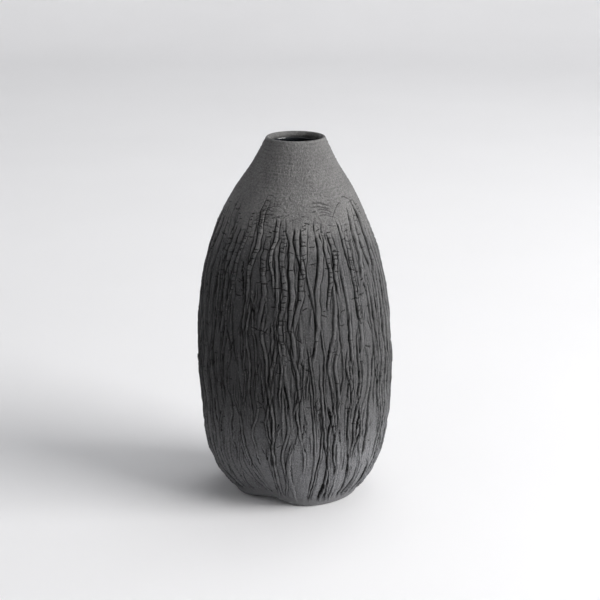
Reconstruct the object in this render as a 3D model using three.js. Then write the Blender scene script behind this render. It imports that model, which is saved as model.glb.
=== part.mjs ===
// A tall closed-in stoneware vase, standing on a floor slab that is pinched in at two places.
// Its wrinkled outer skin covers a core wall; a smooth shoulder cone closes the top to a small
// round mouth, and a glaze coat lines the inside. Millimetres, +Z up, origin at the centre of
// the rest face. Every piece is turned about Z and then pinched by one shared function.
import * as THREE from "three";

// Overall form
const HEIGHT = 300; // table to the top of the lip
const BELLY_RADIUS = 79.5; // widest outer radius
const BELLY_HEIGHT = 116; // height of the widest place
const FOOT_RADIUS = 49; // outer radius where the form leaves the table
const LIP_RADIUS = 24.4; // outer radius just under the lip's round

// Walls and coats
const WALL_AT_FOOT = 7.6; // outer face to the inner clay face, skin included
const WALL_AT_LIP = 3.4;
const SKIN = 2.2; // wrinkled skin, full thickness
const SKIN_EDGE = 0.9; // skin at its feathered upper edge
const GLAZE = 0.8; // glaze coat inside
const SLIP = 0.3; // slip joint left between any two pieces
const LIP_ROUND = 1.9; // height of the lip's round

// Foot
const FLOOR = 8; // floor slab, table to the wall's seat
const FLOOR_BOSS = 1.6; // step on the slab that locates the wall
const FOOT_ROUND = 2.8; // round on the slab's lower edge
const COIL = 6; // leg of the seam coil in the corner of floor and wall
const COIL_HOLLOW = 0.3; // how far its face is pressed in towards the corner, as a share
const LINING_GAP = 3; // the lining meets the wall this far above the coil
const GLAZE_BELOW_LIP = 0.9; // bare clay between the lining's edge and the lip's round

// Joints near the top, as drops from the top of the lip
const JOINT_DROP = 62; // joint of core wall and shoulder cone, cut square to the wall
const SKIN_TAPER_DROP = 78; // the skin starts to thin here
const SKIN_TOP_DROP = 38; // and ends here

// Pinches in the foot
const PINCH_ANGLES = [-120, 60]; // degrees about Z from +X
const PINCH_DEPTH = 7; // at the foot's edge
const PINCH_SPREAD = 24; // degrees from the middle to 1/e of the depth
const PINCH_REACH = 52; // height at which a pinch has faded out
const PINCH_LIFT = 4; // how far a pinch's lower edge stands off the table
const LIFTED_RING = 19; // width of the floor's outer ring that the lift bends up

// Facets
const SIDES = 48; // a multiple of 24, so that both pinches fall on a facet edge
const ROWS_BELOW_JOINT = 15;
const ROWS_UNDER_LAP = 2;
const ROWS_ON_NECK = 3;
const ROW_CROWDING = 1.2; // above 1, the rows are closer together at the lower end
const ROW_CLEARANCE = 0.008; // no row closer than this share of the outline to a face's end
const ARC_STEPS = 4; // in a quarter round

// Outline below and above the belly: [share of the rise, share of the change in radius]
const LOWER_FORM = [[0.07, 0.2], [0.17, 0.49], [0.34, 0.77], [0.56, 0.915], [0.8, 0.985]];
const UPPER_FORM = [[0.26, 0.04], [0.45, 0.145], [0.62, 0.325], [0.76, 0.542], [0.89, 0.812]];

const STONEWARE = new THREE.MeshStandardMaterial({ color: 0x3f3e3d, roughness: 0.92, metalness: 0 });
const RAW_CLAY = new THREE.MeshStandardMaterial({ color: 0x4c4a48, roughness: 0.95, metalness: 0 });
const SANDY_CLAY = new THREE.MeshStandardMaterial({ color: 0x5b5957, roughness: 0.88, metalness: 0 });
const BLACK_GLAZE = new THREE.MeshStandardMaterial({ color: 0x15181b, roughness: 0.12, metalness: 0 });

const { lerp, clamp, smoothstep, degToRad } = THREE.MathUtils;

const flatRadius = FOOT_RADIUS - LIFTED_RING;
const seat = FLOOR + SLIP;
const floorTop = FLOOR + FLOOR_BOSS + SLIP;
const jointHeight = HEIGHT - JOINT_DROP;
const skinTopHeight = HEIGHT - SKIN_TOP_DROP;
const lipHeight = HEIGHT - LIP_ROUND;

// The outer face as a curve in the half plane: x is the radius, y the height.
function outlineCurve() {
  const place = (radius, height) => new THREE.Vector3(radius, height, 0);
  const points = [
    place(FOOT_RADIUS, 0),
    ...LOWER_FORM.map(([rise, out]) =>
      place(lerp(FOOT_RADIUS, BELLY_RADIUS, out), BELLY_HEIGHT * rise)),
    place(BELLY_RADIUS, BELLY_HEIGHT),
    ...UPPER_FORM.map(([rise, inward]) =>
      place(lerp(BELLY_RADIUS, LIP_RADIUS, inward), lerp(BELLY_HEIGHT, lipHeight, rise))),
    place(LIP_RADIUS, lipHeight),
  ];
  return new THREE.CatmullRomCurve3(points, false, "centripetal");
}
const outline = outlineCurve();

// The place where a rising function reaches a value, by halving.
const SOLVED_WITHIN = 1e-6;
function solve(rising, value, low, high) {
  while (high - low > SOLVED_WITHIN) {
    const middle = (low + high) / 2;
    if (rising(middle) < value) low = middle;
    else high = middle;
  }
  return (low + high) / 2;
}

// The point at a depth under the outer face, measured square to it, from a share of the outline.
function under(t, depth) {
  const onFace = outline.getPoint(t);
  const along = outline.getTangent(t);
  return new THREE.Vector2(onFace.x - along.y * depth, onFace.y + along.x * depth);
}

// Layers of the wall, each a depth under the outer face that changes with height.
const outerFace = () => 0;
const skinInner = (height) =>
  lerp(SKIN, SKIN_EDGE, smoothstep(height, HEIGHT - SKIN_TAPER_DROP, skinTopHeight));
const coreOuter = (height) => skinInner(height) + SLIP;
const clayInner = (height) => lerp(WALL_AT_FOOT, WALL_AT_LIP, clamp(height / HEIGHT, 0, 1));
const glazeOuter = (height) => clayInner(height) + SLIP;
const glazeInner = (height) => clayInner(height) + SLIP + GLAZE;
const onLayer = (t, layer) => under(t, layer(outline.getPoint(t).y));
const shareAt = (height, layer = outerFace) =>
  solve((t) => onLayer(t, layer).y, height, 0, 1);

// Shared rows, so that the facets of neighbouring pieces lie parallel.
const coilTop = shareAt(floorTop + COIL, glazeOuter);
const liningStart = shareAt(floorTop + COIL + LINING_GAP, glazeOuter);
const joint = shareAt(jointHeight);
const skinTop = shareAt(skinTopHeight);
function rows(from, to, count) {
  const heightOf = (t) => outline.getPoint(t).y;
  return Array.from({ length: count }, (_, i) =>
    shareAt(lerp(heightOf(from), heightOf(to), ((i + 1) / count) ** ROW_CROWDING)));
}
const stations = [
  coilTop,
  liningStart,
  ...rows(liningStart, joint, ROWS_BELOW_JOINT),
  ...rows(joint, skinTop, ROWS_UNDER_LAP),
  ...rows(skinTop, 1, ROWS_ON_NECK),
];

// A layer from one share of the outline to another.
function face(from, to, layer) {
  const between = stations.filter((t) => t > from + ROW_CLEARANCE && t < to - ROW_CLEARANCE);
  return [from, ...between, to].map((t) => onLayer(t, layer));
}

// How far a pinch has closed at an angle and height, from 0 to 1.
function pinchShare(angle, height) {
  const around = PINCH_ANGLES.map((degrees) => {
    const turn = angle - degToRad(degrees);
    const apart = Math.atan2(Math.sin(turn), Math.cos(turn));
    return Math.exp(-((apart / degToRad(PINCH_SPREAD)) ** 2));
  });
  return Math.max(...around) * (1 - smoothstep(height, 0, PINCH_REACH));
}

// Draws a point in towards the axis by the pinches, and lifts the edge of the foot there. It
// moves every piece alike.
function pinched(angle, { x: radius, y: height }) {
  const share = pinchShare(angle, height);
  const edge = clamp((radius - flatRadius) / LIFTED_RING, 0, 1);
  const drawn = radius * (1 - (share * PINCH_DEPTH) / FOOT_RADIUS);
  return [drawn * Math.cos(angle), drawn * Math.sin(angle), height + share * edge * PINCH_LIFT];
}

// Turns a profile about Z, pinches it and names it. Profiles run anticlockwise with the radius to
// the right and the height up. Facets of rising and falling faces are halved along the same
// diagonal, so that two faces on either side of a slip joint never cross.
function turned(name, profile, material) {
  const positions = [];
  const index = [];
  const count = profile.length;
  for (let side = 0; side < SIDES; side++) {
    const angle = (2 * Math.PI * side) / SIDES;
    const nextSide = (side + 1) % SIDES;
    for (let i = 0; i < count; i++) {
      positions.push(...pinched(angle, profile[i]));
      const nextPoint = (i + 1) % count;
      const a = side * count + i;
      const b = nextSide * count + i;
      const c = nextSide * count + nextPoint;
      const d = side * count + nextPoint;
      const rising = profile[nextPoint].y > profile[i].y;
      index.push(...(rising ? [a, b, c, a, c, d] : [a, b, d, b, c, d]));
    }
  }
  const geometry = new THREE.BufferGeometry();
  geometry.setAttribute("position", new THREE.Float32BufferAttribute(positions, 3));
  geometry.setIndex(index);
  geometry.computeVertexNormals();
  const mesh = new THREE.Mesh(geometry, material);
  mesh.name = name;
  return mesh;
}

// The round of the lip between two points, up to the full height.
function lipRound(start, end) {
  const steps = 2 * ARC_STEPS;
  return Array.from({ length: steps - 1 }, (_, i) => {
    const angle = (Math.PI * (i + 1)) / steps;
    const foot = angle < Math.PI / 2 ? start.y : end.y;
    return new THREE.Vector2(
      lerp(start.x, end.x, (1 - Math.cos(angle)) / 2), lerp(foot, HEIGHT, Math.sin(angle)));
  });
}

// A quarter round from the rest face up to the slab's side.
function footRound(rest, side) {
  return Array.from({ length: ARC_STEPS - 1 }, (_, i) => {
    const angle = (Math.PI / 2) * ((i + 1) / ARC_STEPS);
    return new THREE.Vector2(
      lerp(rest.x, side.x, Math.sin(angle)), lerp(side.y, rest.y, Math.cos(angle)));
  });
}

function floorSlab() {
  const bossRadius = onLayer(shareAt(seat, clayInner), clayInner).x - SLIP;
  const rest = new THREE.Vector2(FOOT_RADIUS - FOOT_ROUND, 0);
  const side = face(shareAt(FOOT_ROUND), shareAt(FLOOR), outerFace);
  return turned("floor_slab", [
    new THREE.Vector2(0, 0),
    new THREE.Vector2(flatRadius, 0),
    rest,
    ...footRound(rest, side[0]),
    ...side,
    new THREE.Vector2(bossRadius, FLOOR),
    new THREE.Vector2(bossRadius, FLOOR + FLOOR_BOSS),
    new THREE.Vector2(flatRadius, FLOOR + FLOOR_BOSS),
    new THREE.Vector2(0, FLOOR + FLOOR_BOSS),
  ], RAW_CLAY);
}

function coreWall() {
  const outer = face(shareAt(seat, coreOuter), joint, coreOuter);
  const inner = face(shareAt(seat, clayInner), joint, clayInner);
  return turned("core_wall", [...outer, ...inner.reverse()], RAW_CLAY);
}

function barkSkin() {
  const outer = face(shareAt(seat), skinTop, outerFace);
  const inner = face(shareAt(seat, skinInner), skinTop, skinInner);
  return turned("bark_skin", [...outer, ...inner.reverse()], STONEWARE);
}

function shoulderCone() {
  const start = shareAt(jointHeight + SLIP);
  const step = shareAt(skinTopHeight + SLIP);
  const lapped = face(start, step, coreOuter);
  const bare = face(step, 1, outerFace);
  const inner = face(start, 1, clayInner);
  const lip = lipRound(bare[bare.length - 1], inner[inner.length - 1]);
  return turned("shoulder_cone", [...lapped, ...bare, ...lip, ...inner.reverse()], SANDY_CLAY);
}

// The reinforcing coil fills the corner of floor and wall with a hollow, finger-smoothed face.
function coilFace() {
  const wall = face(shareAt(floorTop, glazeOuter), coilTop, glazeOuter);
  const onFloor = new THREE.Vector2(wall[0].x - COIL, floorTop);
  const middle = onFloor.clone().lerp(wall[wall.length - 1], 0.5).lerp(wall[0], COIL_HOLLOW);
  return { wall, onFloor, middle };
}

function seamCoil() {
  const { wall, onFloor, middle } = coilFace();
  return turned("seam_coil", [onFloor, ...wall, middle], RAW_CLAY);
}

// The lining runs from the axis over the floor, across the coil and up the wall.
function glazeLining() {
  const { onFloor, middle } = coilFace();
  const end = shareAt(lipHeight - GLAZE_BELOW_LIP);
  const side = (depth, layer) => [
    new THREE.Vector2(0, floorTop + depth),
    new THREE.Vector2(flatRadius, floorTop + depth),
    new THREE.Vector2(onFloor.x - SLIP - depth, floorTop + depth),
    middle.clone().add(new THREE.Vector2(-depth, depth)),
    ...face(liningStart, end, layer),
  ];
  const clay = side(SLIP, glazeOuter);
  const free = side(SLIP + GLAZE, glazeInner);
  return turned("glaze_lining", [...clay, ...free.reverse()], BLACK_GLAZE);
}

const vase = new THREE.Group();
vase.name = "stoneware_vase";
vase.add(floorSlab(), seamCoil(), coreWall(), barkSkin(), shoulderCone(), glazeLining());

export default vase;
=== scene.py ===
"""A dark stoneware vase with a bark-like skin, standing on a pale sweep.

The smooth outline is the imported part's. One height field, in millimetres, gives the ridges, creases
and cracks of the skin, and every visible clay surface is that outline with the field added to it.
"""

import math

import bpy
import numpy as np
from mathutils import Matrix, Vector


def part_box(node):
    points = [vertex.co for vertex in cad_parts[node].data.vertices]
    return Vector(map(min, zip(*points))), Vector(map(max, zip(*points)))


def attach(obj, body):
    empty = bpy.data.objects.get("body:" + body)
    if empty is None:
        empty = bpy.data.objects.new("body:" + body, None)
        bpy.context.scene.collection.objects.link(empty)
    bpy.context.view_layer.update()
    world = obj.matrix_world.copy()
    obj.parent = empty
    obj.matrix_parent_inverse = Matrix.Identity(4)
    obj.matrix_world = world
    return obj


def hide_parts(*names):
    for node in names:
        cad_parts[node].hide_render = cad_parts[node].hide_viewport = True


MM = 0.001
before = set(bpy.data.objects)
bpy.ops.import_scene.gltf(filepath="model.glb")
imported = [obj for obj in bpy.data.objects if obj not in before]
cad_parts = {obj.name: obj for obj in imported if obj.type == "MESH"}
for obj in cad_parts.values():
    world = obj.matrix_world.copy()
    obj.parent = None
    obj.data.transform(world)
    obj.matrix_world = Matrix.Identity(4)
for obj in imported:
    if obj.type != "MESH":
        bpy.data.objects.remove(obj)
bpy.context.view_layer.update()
rng = np.random.default_rng(20)


def box_mm(node):
    """A CAD node's lowest and highest corners in millimetres."""
    low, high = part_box(node)
    return np.array(low) / MM, np.array(high) / MM


# ---- Sizes, in millimetres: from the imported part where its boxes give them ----
HEIGHT = box_mm("shoulder_cone")[1][2]
BELLY_RADIUS = box_mm("bark_skin")[1][0]
SKIN_TOP = box_mm("bark_skin")[1][2]
BELLY_HEIGHT = 116
FOOT_RADIUS = 49
LIP_RADIUS = 24.4
LIP_ROUND = 1.9
LIP_WALL = 3.4
WALL_AT_FOOT = 7.6
SKIN = 2.2
SKIN_EDGE = 0.9
SKIN_TAPER = 40  # length over which the skin thins towards its top
SLIP = 0.3
GLAZE = 0.8
GLAZE_BELOW_LIP = 0.9
FLOOR = 8
FLOOR_BOSS = 1.6
BOSS_MARGIN = 6  # from the boss to the wall's inner face
FOOT_ROUND = 2.8
JOINT_HEIGHT = HEIGHT - 62
COIL = 6

PINCH_ANGLES = np.radians([-120, 60])
PINCH_DEPTH = 7
PINCH_SPREAD = math.radians(24)
PINCH_REACH = 52
PINCH_LIFT = 4
LIFTED_RING = 19

# The outline below and above the belly: share of the rise, share of the change in radius.
LOWER_FORM = [(0.07, 0.2), (0.17, 0.49), (0.34, 0.77), (0.56, 0.915), (0.8, 0.985)]
UPPER_FORM = [(0.26, 0.04), (0.45, 0.145), (0.62, 0.325), (0.76, 0.542), (0.89, 0.812)]

# The form was bent a little by hand: height, and how far its centre lies towards +X there.
CENTRE_SHIFT = [
    (0, 2.4), (12, 1.7), (60, 1.4), (135, 0.3), (215, -0.9), (245, -0.5), (272, 0.5), (300, 1.4),
]

# ---- Fineness of the visible surface ----
COLUMNS = 1024
ROW_PITCH = 0.5
LINING_COLUMNS = 256
LINING_PITCH = 4
ARC_STEPS = 12


def lerp(start, end, share):
    return start + (end - start) * share


def smoothstep(value, start, end):
    share = np.clip((value - start) / (end - start), 0, 1)
    return share * share * (3 - 2 * share)


# ---- Outline ----
def catmull_rom(points, steps=60):
    """The centripetal Catmull-Rom curve through points, as steps samples for each span."""
    ends = [2 * points[0] - points[1], *points, 2 * points[-1] - points[-2]]
    samples = []
    for p0, p1, p2, p3 in zip(ends, ends[1:], ends[2:], ends[3:]):
        d0, d1, d2 = (math.sqrt(np.linalg.norm(b - a)) for a, b in ((p0, p1), (p1, p2), (p2, p3)))
        m1 = ((p1 - p0) / d0 - (p2 - p0) / (d0 + d1) + (p2 - p1) / d1) * d1
        m2 = ((p2 - p1) / d1 - (p3 - p1) / (d1 + d2) + (p3 - p2) / d2) * d1
        t = np.linspace(0, 1, steps, endpoint=False)[:, None]
        samples.append(
            (2 * t**3 - 3 * t**2 + 1) * p1 + (t**3 - 2 * t**2 + t) * m1
            + (3 * t**2 - 2 * t**3) * p2 + (t**3 - t**2) * m2
        )
    return np.vstack([*samples, points[-1]])


def outline_points():
    lip_height = HEIGHT - LIP_ROUND
    lower = [(lerp(FOOT_RADIUS, BELLY_RADIUS, out), BELLY_HEIGHT * rise) for rise, out in LOWER_FORM]
    upper = [
        (lerp(BELLY_RADIUS, LIP_RADIUS, inward), lerp(BELLY_HEIGHT, lip_height, rise))
        for rise, inward in UPPER_FORM
    ]
    return np.array(
        [(FOOT_RADIUS, 0), *lower, (BELLY_RADIUS, BELLY_HEIGHT), *upper, (LIP_RADIUS, lip_height)], float
    )


outline = catmull_rom(outline_points())
steps_along = np.linalg.norm(np.diff(outline, axis=0), axis=1)
outline_length = np.concatenate([[0], np.cumsum(steps_along)])
outline_slope = np.gradient(outline, outline_length, axis=0)


def length_at(height):
    """The length along the outline at a height."""
    return np.interp(height, outline[:, 1], outline_length)


def rows_between(low, high, pitch):
    """Lengths along the outline from one height to another, about pitch apart."""
    start, end = length_at(low), length_at(high)
    return np.linspace(start, end, math.ceil((end - start) / pitch) + 1)


def on_outline(lengths):
    """Radius, height and outward normal (two parts) at lengths along the outline."""
    radius, height, dr, dz = (
        np.interp(lengths, outline_length, values)
        for values in (outline[:, 0], outline[:, 1], outline_slope[:, 0], outline_slope[:, 1])
    )
    size = np.hypot(dr, dz)
    return radius, height, dz / size, -dr / size


def layer(lengths, depth):
    """Radius and height of a face that lies a depth (a number, or a function of height) inside."""
    radius, height, out_r, out_z = on_outline(lengths)
    inside = depth(height) if callable(depth) else depth
    return radius - out_r * inside, height - out_z * inside


def skin_depth(height):
    return lerp(SKIN, SKIN_EDGE, smoothstep(height, SKIN_TOP - SKIN_TAPER, SKIN_TOP))


def clay_depth(height):
    return lerp(WALL_AT_FOOT, LIP_WALL, np.clip(height / HEIGHT, 0, 1))


def pinched(angles, radius, height):
    """Points in metres, with the foot's pinches applied; every argument broadcasts."""
    turn = angles[..., None] - PINCH_ANGLES
    apart = np.arctan2(np.sin(turn), np.cos(turn))
    around = np.exp(-((apart / PINCH_SPREAD) ** 2)).max(axis=-1)
    share = around * (1 - smoothstep(height, 0, PINCH_REACH))
    edge = np.clip((radius - (FOOT_RADIUS - LIFTED_RING)) / LIFTED_RING, 0, 1)
    drawn = radius * (1 - share * PINCH_DEPTH / FOOT_RADIUS)
    lifted = height + share * edge * PINCH_LIFT
    shift = np.interp(height, *np.transpose(CENTRE_SHIFT))
    return np.stack([drawn * np.cos(angles) + shift, drawn * np.sin(angles), lifted], axis=-1) * MM


# ---- The grid that carries the relief ----
side_rows = rows_between(FOOT_ROUND, FLOOR, ROW_PITCH)
skin_rows = rows_between(FLOOR, SKIN_TOP, ROW_PITCH)
cone_rows = rows_between(SKIN_TOP, HEIGHT - LIP_ROUND, ROW_PITCH)
lengths = np.concatenate([side_rows, skin_rows[1:], cone_rows[1:]])
skin_start = len(side_rows) - 1
cone_start = skin_start + len(skin_rows) - 1
row_radius, row_height, _, _ = on_outline(lengths)
angles = np.linspace(0, 2 * math.pi, COLUMNS, endpoint=False)

# Sizes across the skin are given at this radius, so that the pattern narrows as the form does.
PATTERN_RADIUS = 74
column_pitch = PATTERN_RADIUS * 2 * math.pi / COLUMNS
row_step = lengths[skin_start + 1] - lengths[skin_start]


f_along = np.fft.fftfreq(len(lengths), row_step)[:, None]
f_across = np.fft.rfftfreq(COLUMNS, column_pitch)[None, :]


def filtered(values, keep):
    return np.fft.irfft2(np.fft.rfft2(values) * keep, s=values.shape)


def blurred(values, across, along):
    """A grid of values with features smaller than these sizes (mm) smoothed away."""
    return filtered(values, np.exp(-2 * ((f_along * along) ** 2 + (f_across * across) ** 2)))


def noise_field(across, along):
    """Smooth noise over the whole grid, of unit spread, with features of these sizes (mm)."""
    smooth = blurred(rng.standard_normal((len(lengths), COLUMNS)), across, along)
    return smooth / smooth.std()


def grooved_field(spacing, spread, along):
    """Noise whose zero lines run along the form about spacing apart, and fork where it is weak."""
    middle = 0.5 / spacing
    keep = np.exp(-0.5 * ((f_across - middle) / (spread * middle)) ** 2 - 2 * (f_along * along) ** 2)
    grooved = filtered(rng.standard_normal((len(lengths), COLUMNS)), keep)
    return grooved / grooved.std()


def swept(values, drift):
    """A grid of values carried sideways by a drift in mm, with linear steps between columns."""
    place = np.arange(COLUMNS) - drift / column_pitch
    whole = np.floor(place).astype(int)
    part = place - whole
    near = np.take_along_axis(values, whole % COLUMNS, axis=1)
    far = np.take_along_axis(values, (whole + 1) % COLUMNS, axis=1)
    return lerp(near, far, part)


def wander(count, wavelength):
    """For each of count strips, a slow random wave along the rows, within -1 and 1."""
    waves = 3
    wavelengths = wavelength * rng.uniform(0.6, 1.7, (count, waves, 1))
    phases = rng.uniform(0, 2 * math.pi, (count, waves, 1))
    return np.sin(2 * math.pi * lengths / wavelengths + phases).mean(axis=1)


def wave_round(periods):
    """A random wave round the vase with up to this many periods, within -1 and 1."""
    each = np.arange(1, periods + 1)[:, None]
    phases = rng.uniform(0, 2 * math.pi, (periods, 1))
    weights = rng.uniform(0.5, 1, (periods, 1))
    return (weights * np.sin(each * angles + phases)).sum(axis=0) / weights.sum()


def bump_profile(aside, half_left, half_right, flat=0.4):
    """The section of a ridge, 1 high and level over a share of its width, 0 beyond its two halves."""
    share = np.abs(aside) / np.where(aside < 0, half_left, half_right)
    return 1 - smoothstep(share, flat, 1.05)


CREASE_WIDTH = (0.28, 0.14)  # of a faint crease, and how much wider a crease 1 mm deep is
CREASE_OUTSIDE = 0.3


def crease_profile(aside, half_left, half_right, left, right):
    """The two narrow creases beside a ridge, of depths left and right."""
    thin, widening = CREASE_WIDTH
    off_left = (aside + half_left + CREASE_OUTSIDE) / (thin + widening * left)
    off_right = (aside - half_right - CREASE_OUTSIDE) / (thin + widening * right)
    return left * np.exp(-off_left * off_left) + right * np.exp(-off_right * off_right)


# ---- Seams: long ridges that split, merge and close into narrow lenses ----
RIGHT_FLANK = 1.5  # the right flank of a ridge is this much wider than its steep left flank


def seams(level, half):
    """Heights and creases of ridges that follow the zero lines of a field."""
    slope_along = np.gradient(level, row_step, axis=0)
    slope_across = (np.roll(level, -1, axis=1) - np.roll(level, 1, axis=1)) / (2 * column_pitch)
    steepness = np.hypot(slope_along, slope_across)
    aside = level * np.sign(slope_across) / steepness
    half = half * (1 + 0.25 * noise_field(7, 30))
    clear = smoothstep(steepness / steepness.mean(), 0.25, 0.6)
    tall = clear * np.clip(1 + 0.3 * noise_field(6, 34), 0.3, 1.5)
    left = tall * (0.45 + 1.7 * smoothstep(noise_field(4, 16), -0.3, 1.5))
    right = tall * smoothstep(noise_field(4, 12), 0, 1.6)
    crown = tall * bump_profile(aside, half, RIGHT_FLANK * half)
    return crown, crease_profile(aside, half, RIGHT_FLANK * half, left, right)


# ---- Strips: straps that hang from the shoulder, and thin slats all over the body ----
STRAPS = 60
STRAP_TOP = 246
STRAP_TOP_SPREAD = 9
STRAP_TOP_LIMITS = (195, 262)
SLATS = 135
SLAT_TOPS = (60, 185, 228)  # lowest, most usual and highest
STRIP_TOP_WAVE = 12
STRAP_SHAPE = {"drops": (45, 140), "widths": (1.2, 2.7), "heights": (0.8, 1.7), "lean": 0.08}
SLAT_SHAPE = {"drops": (55, 190), "widths": (0.7, 1.6), "heights": (0.8, 1.7), "lean": 0.07}
CREASE_DEPTHS = (0.6, 1.5)
STRIP_REACH = 12  # columns each side of a strip's centre that it may touch
STRIP_RIGHT_FLANK = 1.15
STRIP_FLAT = 0.5
LADDER_SHARE = 0.55


def strips(tops, drops, widths, heights, lean):
    """Each strip's centre (angle), share of its drop, half width, height and crease, for every row."""
    count = len(tops)
    column = (count, 1)
    homes = (np.arange(count) + rng.uniform(-0.5, 0.5, count))[:, None] * 2 * math.pi / count
    leans = rng.normal(0, lean, column)
    tops = length_at(tops + STRIP_TOP_WAVE * np.interp(homes[:, 0], angles, wave_round(9)))[:, None]
    drops = rng.uniform(*drops, column)
    below = tops - lengths
    sway = 2.8 * wander(count, 60) + 0.4 * wander(count, 15)
    centres = homes + (sway + leans * below) / row_radius
    share = below / drops
    tapered = (1 - 0.45 * np.clip(share, 0, 1) ** 2) * (1 + 0.15 * wander(count, 12))
    end = 1 - smoothstep(share, 0.8, 1)
    halves = rng.uniform(*widths, column) * tapered
    crowns = rng.uniform(*heights, column) * (1 + 0.25 * wander(count, 18))
    crowns = crowns * smoothstep(share, 0.02, 0.35) * end
    depths = rng.uniform(*CREASE_DEPTHS, column) * (0.75 + 0.5 * wander(count, 14))
    depths = depths * smoothstep(share, 0, 0.12) * end
    return centres, share, halves, crowns, depths


def straps():
    """The wide strips whose tops make the skin's ragged upper edge."""
    tops = np.clip(STRAP_TOP + rng.normal(0, STRAP_TOP_SPREAD, STRAPS), *STRAP_TOP_LIMITS)
    return strips(tops, **STRAP_SHAPE)


def slats():
    """The thin strips of the body, each starting at its own height."""
    return strips(rng.triangular(*SLAT_TOPS, SLATS), **SLAT_SHAPE)


def raised(centres, halves, heights, depths):
    """The crown and the creases of strips given by their centres, half widths and heights."""
    crowns, creases = np.zeros((2, len(lengths), COLUMNS))
    mm_per_column = (row_radius * 2 * math.pi / COLUMNS)[:, None]
    offsets = np.arange(-STRIP_REACH, STRIP_REACH + 1)
    rows = np.arange(len(lengths))[:, None]
    for centre, half, height, depth in zip(centres, halves, heights, depths):
        exact = centre[:, None] / (2 * math.pi) * COLUMNS
        columns = np.round(exact) + offsets
        aside = (columns - exact) * mm_per_column
        columns = columns.astype(int) % COLUMNS
        half, height, depth = half[:, None], height[:, None], depth[:, None]
        right = STRIP_RIGHT_FLANK * half
        crown = height * bump_profile(aside, half, right, STRIP_FLAT)
        crease = crease_profile(aside, half, right, depth, 0.6 * depth)
        crowns[rows, columns] = np.maximum(crowns[rows, columns], crown)
        creases[rows, columns] = np.maximum(creases[rows, columns], crease)
    return crowns, creases


# ---- Cracks that cross the ridges ----
LOOSE_CRACKS = 360
SHOULDER_CRACKS = 40
FOLDS_IN_FAN = 7


def cut(cracks, angle, length, half, slant=0, bend=0, depth=0.8, width=0.3):
    """Adds one crack: half its length each side of the angle, rising by slant and bending."""
    row = int(np.searchsorted(lengths, length))
    pitch = row_radius[row] * 2 * math.pi / COLUMNS
    columns_out = math.ceil(half / pitch)
    rows_out = math.ceil((3 * width + abs(slant) * half + abs(bend) * half * half) / row_step)
    column = round(angle / (2 * math.pi) * COLUMNS)
    rows = np.arange(max(row - rows_out, 0), min(row + rows_out + 1, len(lengths)))
    columns = np.arange(column - columns_out, column + columns_out + 1)
    across = (columns - column) * pitch
    jag = np.cumsum(rng.normal(0, 0.13, len(columns)))
    jag -= jag[columns_out]
    off = (lengths[rows][:, None] - length - slant * across - bend * across * across - jag) / width
    ends = 1 - smoothstep(np.abs(across) / half, 0.6, 1)
    here = np.ix_(rows, columns % COLUMNS)
    cracks[here] = np.maximum(cracks[here], depth * ends * np.exp(-off * off))


def ladders(cracks, centres, share, halves):
    """Short cracks across the upper part of some straps."""
    for centre, along, half in zip(centres, share, halves):
        last = rng.uniform(0.3, 0.95)
        if rng.random() > LADDER_SHARE:
            continue
        bottom, top = (np.interp(-s, -along, lengths) for s in (last, 0.03))
        length = top
        while length > bottom:
            angle = np.interp(length, lengths, centre)
            reach = rng.uniform(0.7, 1.4) * np.interp(length, lengths, half)
            slant, bend, depth = rng.normal(0, 0.2), rng.normal(0, 0.05), rng.uniform(0.3, 0.9)
            cut(cracks, angle, length, reach, slant, bend, depth)
            length -= rng.gamma(2, 1.9) + 1.2


def loose_cracks(cracks):
    """Cracks here and there, most of them in the upper half, and long faint ones on the shoulder."""
    for _ in range(LOOSE_CRACKS):
        height, half = rng.triangular(40, 205, 256), rng.uniform(1.2, 3.6)
        slant, bend = rng.normal(0, 0.3), rng.normal(0, 0.05)
        angle, depth = rng.uniform(0, 2 * math.pi), rng.uniform(0.4, 0.9)
        cut(cracks, angle, length_at(height), half, slant, bend, depth)
    for _ in range(SHOULDER_CRACKS):
        height, half = rng.uniform(222, 256), rng.uniform(2.5, 6)
        slant, bend = rng.normal(0, 0.25), rng.normal(0, 0.05)
        angle, depth = rng.uniform(0, 2 * math.pi), rng.uniform(0.15, 0.35)
        cut(cracks, angle, length_at(height), half, slant, bend, depth)


def fan_of_folds(cracks, angle, height, lean):
    """Fine curved folds, one over another, where the skin has been pushed up the shoulder."""
    for fold in range(FOLDS_IN_FAN):
        length = length_at(height) + fold * rng.uniform(1.6, 2.2)
        turned = angle + (fold * 0.012 + rng.normal(0, 0.02)) * lean
        half, bend = rng.uniform(6, 9), rng.normal(-0.03, 0.004)
        cut(cracks, turned, length, half, 0.25 * lean, bend, depth=0.32, width=0.36)


# ---- The whole height field ----
SKIN_LEFT = 0.25  # the skin is nowhere thinner than this
BASE_DROP = 0.65  # how far the skin's face between the ridges lies inside the outline
SHADE_BELT_RISE, SHADE_BELT_FALL = (40, 115), (175, 240)  # heights over which the painted shade belt comes and goes
# painted light: below this height the clay is coloured lighter
PAINTED_FOOT_LIGHT_TOP = 110
COARSE_GROOVES = {"spacing": 13, "spread": 0.35, "along": 75}
FINE_GROOVES = {"spacing": 5, "spread": 0.4, "along": 45}
DRIFT = 2.6  # how far the grooves lean aside
BARK_EDGE = 243
# Folds: angle in degrees, height, side they lean to. Tears: angle, height, half length, slant.
FOLDS = [(-118, 241, 1), (-62, 246, -1), (20, 243, 1), (75, 240, -1), (140, 244, 1)]
TEARS = [(-50, 250, 7, 0.9), (-34, 256, 5, -0.6), (66, 252, 7, -0.6), (150, 250, 6, 0.7)]


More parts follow.
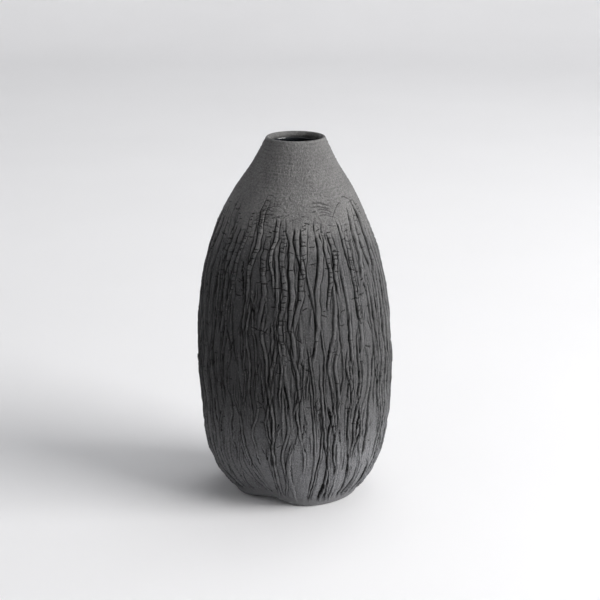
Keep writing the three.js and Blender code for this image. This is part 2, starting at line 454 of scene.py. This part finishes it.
def relief():
    """Heights over the outline, and masks for the clay's colour and for its painted shade, highlights and
    light.
    """
    jagged = noise_field(1.2, 2.6)
    drift = DRIFT * noise_field(26, 60)
    coarse, coarse_crease = seams(swept(grooved_field(**COARSE_GROOVES), drift) + 0.02 * jagged, 1.4)
    fine, fine_crease = seams(swept(grooved_field(**FINE_GROOVES), drift) + 0.06 * jagged, 0.8)
    bundle = smoothstep(noise_field(9, 40), 0.5, 1.1)
    centres, _, halves, heights, depths = slats()
    slat, slat_crease = raised(centres, halves, heights, depths)
    net = np.maximum.reduce([coarse, 0.8 * fine * bundle, slat])
    net_crease = np.maximum.reduce(
        [0.7 * coarse_crease, 0.6 * fine_crease * bundle, 0.9 * slat_crease]
    )

    above_foot = smoothstep(row_height, 3.5, 9)[:, None]
    edge = BARK_EDGE + 11 * wave_round(12) + 4 * noise_field(6, 12)
    bark = smoothstep(edge - row_height[:, None], -4, 34)
    centres, share, halves, heights, depths = straps()
    strap, strap_crease = raised(centres, halves, heights, depths)
    covered = np.clip(strap / 0.35, 0, 1)

    cracks = np.zeros_like(net)
    ladders(cracks, centres, share, halves)
    loose_cracks(cracks)
    for angle, height, lean in FOLDS:
        fan_of_folds(cracks, math.radians(angle), height, lean)
    for angle, height, half, slant in TEARS:
        where = length_at(height)
        cut(cracks, math.radians(angle), where, half, slant, bend=-0.05, depth=0.45, width=0.35)

    plates = np.tanh(2.5 * noise_field(5, 34)) * 0.22
    striation = noise_field(0.8, 9) * 0.06
    dense = smoothstep(edge - row_height[:, None], 0, 62) * (1 - covered)
    ridged = (net * dense + (plates + striation - BASE_DROP) * bark) * above_foot + strap
    creases = np.maximum(net_crease * dense, strap_crease) * above_foot
    grain = noise_field(0.8, 0.8) * 0.06 + noise_field(1.9, 1.3) * 0.1 * (1 - 0.55 * bark)
    throwing = noise_field(60, 1.4) * 0.09 * smoothstep(row_height, 235, 270)[:, None]
    slack = smoothstep(row_height, 2, 30) * (row_radius / PATTERN_RADIUS) ** 2
    lumps = 0.3 * noise_field(24, 34) * slack[:, None]
    height = ridged - creases - cracks + grain + throwing + lumps
    height = np.maximum(height, SKIN_LEFT - skin_depth(row_height)[:, None])

    # painted shade: the creases and cracks are coloured near black, where shade falls in them
    crevice_shade = np.clip(np.maximum(creases / 0.65, cracks / 0.4), 0, 1)
    # painted shade: darker where the surface lies below its surroundings
    hollow = np.clip((blurred(height, 2.2, 2.2) - height) / 0.4, 0, 1)
    # painted highlight: lighter where the surface stands above its surroundings
    crest_highlight = np.clip((height - blurred(height, 5, 5)) / 0.8, 0, 1)
    # painted shade: a darker belt at mid height, strongest on the left, away from the window
    belt = smoothstep(row_height, *SHADE_BELT_RISE) * (1 - smoothstep(row_height, *SHADE_BELT_FALL))
    painted_shade_belt = belt[:, None] * (1 - np.cos(angles)) / 2
    # painted light: lighter towards the foot, most on the right, where the window lights it
    painted_foot_light = (1 - smoothstep(row_height, 0, PAINTED_FOOT_LIGHT_TOP))[:, None] * (2 + np.cos(angles)) / 3
    sandy = 1 - bark * above_foot
    return height, {
        "crevice_shade": crevice_shade,
        "hollow": hollow,
        "crest_highlight": crest_highlight,
        "sandy": sandy,
        "painted_shade_belt": painted_shade_belt,
        "painted_foot_light": painted_foot_light,
    }


field, masks = relief()


# ---- Mesh making ----
def sheet_of(lengths_, depth, columns):
    """Rings of a smooth face at a depth, from its lengths along the outline."""
    radius, height = layer(lengths_, depth)
    return ring_grid(radius, height, columns)


def ring_grid(radius, height, columns):
    """Pinched rings, one for each radius and height."""
    turns = np.linspace(0, 2 * math.pi, columns, endpoint=False)
    shape = (len(radius), columns)
    return pinched(
        np.broadcast_to(turns, shape),
        np.broadcast_to(np.asarray(radius, float)[:, None], shape),
        np.broadcast_to(np.asarray(height, float)[:, None], shape),
    )


def relief_grid(rows):
    """Pinched rings of the outer face with the height field added, for a slice of the rows."""
    radius, height, out_r, out_z = (values[:, None] for values in on_outline(lengths[rows]))
    return pinched(
        np.broadcast_to(angles, field[rows].shape),
        radius + out_r * field[rows],
        height + out_z * field[rows],
    )


def build_mesh(name, grids, capped, mask_rows=None):
    """One mesh from stacked grids of rings. capped closes both ends on the axis; otherwise the
    last ring joins the first. mask_rows says which slice of the masks the first grid carries."""
    rings = np.concatenate(grids)
    count, columns = rings.shape[:2]
    points = rings.reshape(-1, 3)
    index = np.arange(count * columns).reshape(count, columns)
    following = np.roll(index, -1, axis=1)
    if capped:
        low, high, low_next, high_next = index[:-1], index[1:], following[:-1], following[1:]
    else:
        low, high, low_next, high_next = index, np.roll(index, -1, 0), following, np.roll(following, -1, 0)
    quads = np.stack([low, low_next, high_next, high], axis=-1).reshape(-1, 4)
    loops, sizes = [quads.ravel()], [np.full(len(quads), 4)]
    if capped:
        for ring, ring_next in ((following[0], index[0]), (index[-1], following[-1])):
            centre = np.array([0, 0, points[ring[0], 2]])
            points = np.vstack([points, centre])
            fan = np.stack([ring, ring_next, np.full(columns, len(points) - 1)], axis=-1)
            loops.append(fan.ravel())
            sizes.append(np.full(columns, 3))
    loops, sizes = np.concatenate(loops), np.concatenate(sizes)
    mesh = bpy.data.meshes.new(name)
    mesh.vertices.add(len(points))
    mesh.vertices.foreach_set("co", points.astype(np.float32).ravel())
    mesh.loops.add(len(loops))
    mesh.loops.foreach_set("vertex_index", loops.astype(np.int32))
    mesh.polygons.add(len(sizes))
    starts = np.concatenate([[0], np.cumsum(sizes)[:-1]])
    mesh.polygons.foreach_set("loop_start", starts.astype(np.int32))
    mesh.polygons.foreach_set("use_smooth", np.ones(len(sizes), bool))
    mesh.update(calc_edges=True)
    for mask, values in masks.items():
        first = values[mask_rows].ravel() if mask_rows else np.empty(0)
        filled = np.full(len(points), float(mask == "sandy" and "cone" in name))
        filled[: len(first)] = first
        mesh.attributes.new(mask, "FLOAT", "POINT").data.foreach_set("value", filled.astype(np.float32))
    piece = bpy.data.objects.new(name, mesh)
    bpy.context.collection.objects.link(piece)
    return piece


def quarter(start, end, steps=ARC_STEPS):
    """A quarter round between two (radius, height) points, level at start, upright at end."""
    turn = np.linspace(0, math.pi / 2, steps + 1)[1:-1]
    return lerp(start[0], end[0], np.sin(turn)), lerp(end[1], start[1], np.cos(turn))


def floor_piece():
    """The slab with its rounded edge, which shows as the smooth band under the ridges."""
    side = relief_grid(slice(0, skin_start + 1))
    boss = layer(length_at(FLOOR), clay_depth)[0] - BOSS_MARGIN
    rest = FOOT_RADIUS - FOOT_ROUND
    radius, height = quarter((rest, 0), (on_outline(length_at(FOOT_ROUND))[0], FOOT_ROUND))
    boss_top = FLOOR + FLOOR_BOSS
    top = ring_grid([boss, boss, FOOT_RADIUS - LIFTED_RING], [FLOOR, boss_top, boss_top], COLUMNS)
    under = ring_grid([FOOT_RADIUS - LIFTED_RING, rest, *radius], [0, 0, *height], COLUMNS)
    return build_mesh("clay_floor", [under, side, top], capped=True)


def skin_piece():
    outer = relief_grid(slice(skin_start, cone_start + 1))
    inner = sheet_of(rows_between(FLOOR, SKIN_TOP, LINING_PITCH)[::-1], skin_depth, COLUMNS)
    return build_mesh("bark_relief", [outer, inner], False, slice(skin_start, cone_start + 1))


def cone_piece():
    outer = relief_grid(slice(cone_start, None))
    top_r, top_z, _, _ = on_outline(outline_length[-1])
    in_r, in_z = layer(outline_length[-1:], clay_depth)
    turn = np.linspace(0, math.pi, 2 * ARC_STEPS)[1:-1]
    lip_r = lerp(top_r, in_r[0], (1 - np.cos(turn)) / 2)
    lip_z = lerp(np.where(turn < math.pi / 2, top_z, in_z[0]), HEIGHT, np.sin(turn))
    lip = ring_grid(lip_r, lip_z, COLUMNS)
    inner = sheet_of(rows_between(JOINT_HEIGHT, HEIGHT - LIP_ROUND, LINING_PITCH)[::-1], clay_depth, COLUMNS)
    lap = sheet_of(
        rows_between(JOINT_HEIGHT, SKIN_TOP, LINING_PITCH), lambda height: skin_depth(height) + SLIP, COLUMNS
    )
    return build_mesh("sandy_cone", [outer, lip, inner, lap], False, slice(cone_start, None))


def wall_piece():
    """The clay wall inside the skin."""
    rows = rows_between(FLOOR + SLIP, JOINT_HEIGHT - SLIP, LINING_PITCH)
    outer = sheet_of(rows, lambda height: skin_depth(height) + SLIP, LINING_COLUMNS)
    inner = sheet_of(rows[::-1], clay_depth, LINING_COLUMNS)
    return build_mesh("core_clay", [outer, inner], capped=False)


def lining_piece():
    """The glaze coat: over the floor, across the coil's hollow face and up to the lip."""
    floor_top = FLOOR + FLOOR_BOSS + SLIP
    start = floor_top + COIL
    rows = rows_between(start, HEIGHT - LIP_ROUND - GLAZE_BELOW_LIP, LINING_PITCH)

    def side(depth):
        wall_r, wall_z = layer(rows, lambda height: clay_depth(height) + depth)
        bend_r = [FOOT_RADIUS - LIFTED_RING, wall_r[0] - 2.2 * COIL, wall_r[0] - 0.9 * COIL]
        bend_z = [floor_top + depth, floor_top + depth + 0.2, floor_top + depth + 0.45 * COIL]
        return ring_grid([*bend_r, *wall_r], [*bend_z, *wall_z], LINING_COLUMNS)

    return build_mesh("glaze_coat", [side(SLIP), side(SLIP + GLAZE)[::-1]], capped=True)


# ---- Materials ----
def new_material(name):
    material = bpy.data.materials.new(name)
    material.use_nodes = True
    tree = material.node_tree
    tree.nodes.clear()
    shader = tree.nodes.new("ShaderNodeBsdfPrincipled")
    output = tree.nodes.new("ShaderNodeOutputMaterial")
    tree.links.new(shader.outputs["BSDF"], output.inputs["Surface"])
    return material, tree, shader


def add_node(tree, kind, values=None, **links):
    """A node with its properties and unlinked sockets set from values, and links by socket name."""
    node = tree.nodes.new(kind)
    for key, value in (values or {}).items():
        if hasattr(node, key):
            setattr(node, key, value)
        else:
            node.inputs[key].default_value = value
    for key, source in links.items():
        tree.links.new(source, node.inputs[key])
    return node


def math_node(tree, operation, a, b):
    node = tree.nodes.new("ShaderNodeMath")
    node.operation = operation
    for socket, value in zip(node.inputs, (a, b)):
        if isinstance(value, (int, float)):
            socket.default_value = value
        else:
            tree.links.new(value, socket)
    return node.outputs[0]


def mix_colours(tree, share, a, b, blend="MIX"):
    node = tree.nodes.new("ShaderNodeMix")
    node.data_type = "RGBA"
    node.blend_type = blend
    for socket, value in zip((node.inputs[0], node.inputs[6], node.inputs[7]), (share, a, b)):
        if isinstance(value, (int, float, tuple)):
            socket.default_value = value
        else:
            tree.links.new(value, socket)
    return node.outputs[2]


def scaled(tree, value, factor, offset):
    """A shader value times a factor, plus an offset."""
    return math_node(tree, "ADD", math_node(tree, "MULTIPLY", value, factor), offset)


def noise(tree, vector, scale, detail=3.0, roughness=0.55):
    node = add_node(tree, "ShaderNodeTexNoise", {"Scale": scale, "Detail": detail, "Roughness": roughness})
    tree.links.new(vector, node.inputs["Vector"])
    return node.outputs["Fac"]


BARK_COLOUR = (0.058, 0.058, 0.06, 1)
# painted light: the sandy zone is coloured lighter than the bark, for the neck and shoulder that face the
# top light
SAND_PAINTED_LIGHT_COLOUR = (0.115, 0.113, 0.112, 1)
# painted shade, for the creases, cracks and hollows
CREVICE_SHADE_COLOUR = (0.005, 0.005, 0.005, 1)
# painted shade, for the belt on the left
PAINTED_BELT_SHADE_COLOUR = (0.01, 0.01, 0.011, 1)
# painted light, for the foot and the lit right side
PAINTED_FOOT_LIGHT_COLOUR = (0.185, 0.187, 0.196, 1)
# painted highlight, for the ridge tops
CREST_HIGHLIGHT_COLOUR = (0.092, 0.092, 0.094, 1)
GRAIN_COLOUR = (0.19, 0.185, 0.18, 1)


def stoneware(name):
    """Charcoal stoneware, sandy where masked, with painted shade in its creases and hollows and in a belt on
    the left, painted highlights on its ridge tops, and painted light near the foot on the right and over the
    sandy zone.
    """
    material, tree, shader = new_material(name)
    place = tree.nodes.new("ShaderNodeTexCoord").outputs["Object"]
    mask = {
        key: add_node(tree, "ShaderNodeAttribute", {"attribute_name": key}).outputs["Fac"]
        for key in masks
    }
    cloud = noise(tree, place, 60, 5, 0.6)
    grain = noise(tree, place, 650, 6, 0.85)
    grog = add_node(tree, "ShaderNodeTexVoronoi", {"Scale": 420.0}, Vector=place)
    speck = math_node(tree, "LESS_THAN", grog.outputs["Distance"], 0.13)

    # painted highlight on the ridge tops
    body = mix_colours(tree, mask["crest_highlight"], BARK_COLOUR, CREST_HIGHLIGHT_COLOUR)
    # painted light: the sandy zone lighter than the bark
    body = mix_colours(tree, mask["sandy"], body, SAND_PAINTED_LIGHT_COLOUR)
    # painted shade: the darker belt on the left
    body = mix_colours(tree, math_node(tree, "MULTIPLY", mask["painted_shade_belt"], 0.9), body, PAINTED_BELT_SHADE_COLOUR)
    # painted light near the foot on the right
    body = mix_colours(tree, mask["painted_foot_light"], body, PAINTED_FOOT_LIGHT_COLOUR)
    body = mix_colours(tree, math_node(tree, "MULTIPLY", speck, 0.5), body, GRAIN_COLOUR)
    tone = scaled(tree, cloud, 0.8, math_node(tree, "MULTIPLY", grain, 4.0))
    tone = math_node(tree, "SUBTRACT", tone, 1.35)
    shade = add_node(tree, "ShaderNodeCombineColor", None, Red=tone, Green=tone, Blue=tone).outputs[0]
    body = mix_colours(tree, 1.0, body, shade, "MULTIPLY")
    # painted shade in the hollows
    body = mix_colours(tree, math_node(tree, "MULTIPLY", mask["hollow"], 0.75), body, CREVICE_SHADE_COLOUR)
    # painted shade in the creases and cracks
    body = mix_colours(tree, mask["crevice_shade"], body, CREVICE_SHADE_COLOUR)
    tree.links.new(body, shader.inputs["Base Color"])

    tree.links.new(scaled(tree, grain, 0.3, 0.45), shader.inputs["Roughness"])
    open_clay = math_node(tree, "SUBTRACT", 1.0, math_node(tree, "MULTIPLY", mask["crevice_shade"], 0.7))
    tree.links.new(math_node(tree, "MULTIPLY", open_clay, 0.45), shader.inputs["Specular IOR Level"])

    coarse = add_node(tree, "ShaderNodeBump", {"Strength": 0.9, "Distance": 0.001}, Height=grain)
    tree.links.new(coarse.outputs["Normal"], shader.inputs["Normal"])
    return material


def fired_clay(name):
    """The bare body clay of the hidden pieces and the foot."""
    material, tree, shader = new_material(name)
    place = tree.nodes.new("ShaderNodeTexCoord").outputs["Object"]
    grain = noise(tree, place, 800, 4, 0.7)
    body = mix_colours(tree, grain, (0.08, 0.081, 0.085, 1), (0.17, 0.17, 0.175, 1))
    tree.links.new(body, shader.inputs["Base Color"])
    tree.links.new(scaled(tree, grain, 0.25, 0.6), shader.inputs["Roughness"])
    bump = add_node(tree, "ShaderNodeBump", {"Strength": 0.5, "Distance": 0.0004}, Height=grain)
    tree.links.new(bump.outputs["Normal"], shader.inputs["Normal"])
    return material


def black_glaze(name):
    """A glossy black glaze with a slight unevenness."""
    material, tree, shader = new_material(name)
    place = tree.nodes.new("ShaderNodeTexCoord").outputs["Object"]
    pool = noise(tree, place, 60, 3)
    body = mix_colours(tree, pool, (0.006, 0.007, 0.009, 1), (0.02, 0.023, 0.028, 1))
    tree.links.new(body, shader.inputs["Base Color"])
    tree.links.new(scaled(tree, pool, 0.12, 0.08), shader.inputs["Roughness"])
    bump = add_node(tree, "ShaderNodeBump", {"Strength": 0.2, "Distance": 0.0008}, Height=pool)
    tree.links.new(bump.outputs["Normal"], shader.inputs["Normal"])
    return material


def place_piece(piece, node, material):
    piece.data.materials.append(material)
    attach(piece, "root")
    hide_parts(node)


bark = stoneware("bark_stoneware")
clay = fired_clay("raw_clay")
place_piece(floor_piece(), "floor_slab", clay)
place_piece(wall_piece(), "core_wall", clay)
place_piece(skin_piece(), "bark_skin", bark)
place_piece(cone_piece(), "shoulder_cone", stoneware("sandy_stoneware"))
place_piece(lining_piece(), "glaze_lining", black_glaze("black_glaze"))
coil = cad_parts["seam_coil"]
coil.data.materials.clear()
coil.data.materials.append(clay)


# ---- Stage, lights and camera, in metres ----
def sweep():
    """A seamless pale floor that curves up into a wall all round, beyond the camera."""
    flat, bend, top, turns = 2.4, 1.0, 2.4, 96
    curve = np.linspace(0, math.pi / 2, 16)
    radius = np.array([0.0005, 0.8, 1.6, *(flat + bend * np.sin(curve)), flat + bend])
    height = np.array([0, 0, 0, *(bend - bend * np.cos(curve)), top])
    around = np.linspace(0, 2 * math.pi, turns, endpoint=False)
    points = [
        (r * math.cos(a), r * math.sin(a), z) for r, z in zip(radius, height) for a in around
    ]
    faces = [
        (low + i, low + (i + 1) % turns, low + turns + (i + 1) % turns, low + turns + i)
        for low in range(0, (len(radius) - 1) * turns, turns)
        for i in range(turns)
    ]
    mesh = bpy.data.meshes.new("sweep")
    mesh.from_pydata(points, [], [tuple(range(turns)), *faces])
    mesh.polygons.foreach_set("use_smooth", [True] * len(mesh.polygons))
    floor = bpy.data.objects.new("sweep", mesh)
    bpy.context.collection.objects.link(floor)
    material, tree, shader = new_material("paper")
    place = tree.nodes.new("ShaderNodeTexCoord").outputs["Object"]
    tint = mix_colours(tree, noise(tree, place, 3, 2), (0.80, 0.80, 0.81, 1), (0.84, 0.84, 0.85, 1))
    tree.links.new(tint, shader.inputs["Base Color"])
    shader.inputs["Roughness"].default_value = 0.9
    mesh.materials.append(material)


def area_light(name, position, target, size, energy, colour):
    light = bpy.data.lights.new(name, "AREA")
    light.size = size
    light.energy = energy
    light.color = colour
    lamp = bpy.data.objects.new(name, light)
    lamp.location = position
    lamp.rotation_euler = (Vector(target) - Vector(position)).to_track_quat("-Z", "Y").to_euler()
    bpy.context.collection.objects.link(lamp)


def camera():
    """A long lens from 1.5 m, a little above the mouth."""
    data = bpy.data.cameras.new("camera")
    data.lens = 113.5
    data.sensor_width = 36
    data.shift_x = 0.01
    seen_from, seen = Vector((0, -1.5, 0.585)), Vector((0, 0, 0.163))
    view = bpy.data.objects.new("camera", data)
    view.location = seen_from
    view.rotation_euler = (seen - seen_from).to_track_quat("-Z", "Y").to_euler()
    bpy.context.collection.objects.link(view)
    bpy.context.scene.camera = view


def surroundings():
    world = bpy.data.worlds.new("room")
    world.use_nodes = True
    background = world.node_tree.nodes["Background"]
    background.inputs["Color"].default_value = (0.93, 0.95, 1.0, 1)
    background.inputs["Strength"].default_value = 0.09
    bpy.context.scene.world = world


sweep()
surroundings()
area_light("window", (2.1, -0.9, 1.1), (0, 0, 0.12), 1.8, 100, (1.0, 0.99, 0.98))
area_light("ceiling", (0.5, 0.3, 2.6), (0, 0, 0), 2.4, 19, (0.98, 0.99, 1.0))
area_light("backdrop", (0.5, 1.2, 2.2), (0, 3.0, 0.2), 1.6, 16, (1.0, 1.0, 1.0))
bpy.context.scene.view_settings.view_transform = "Standard"
camera()
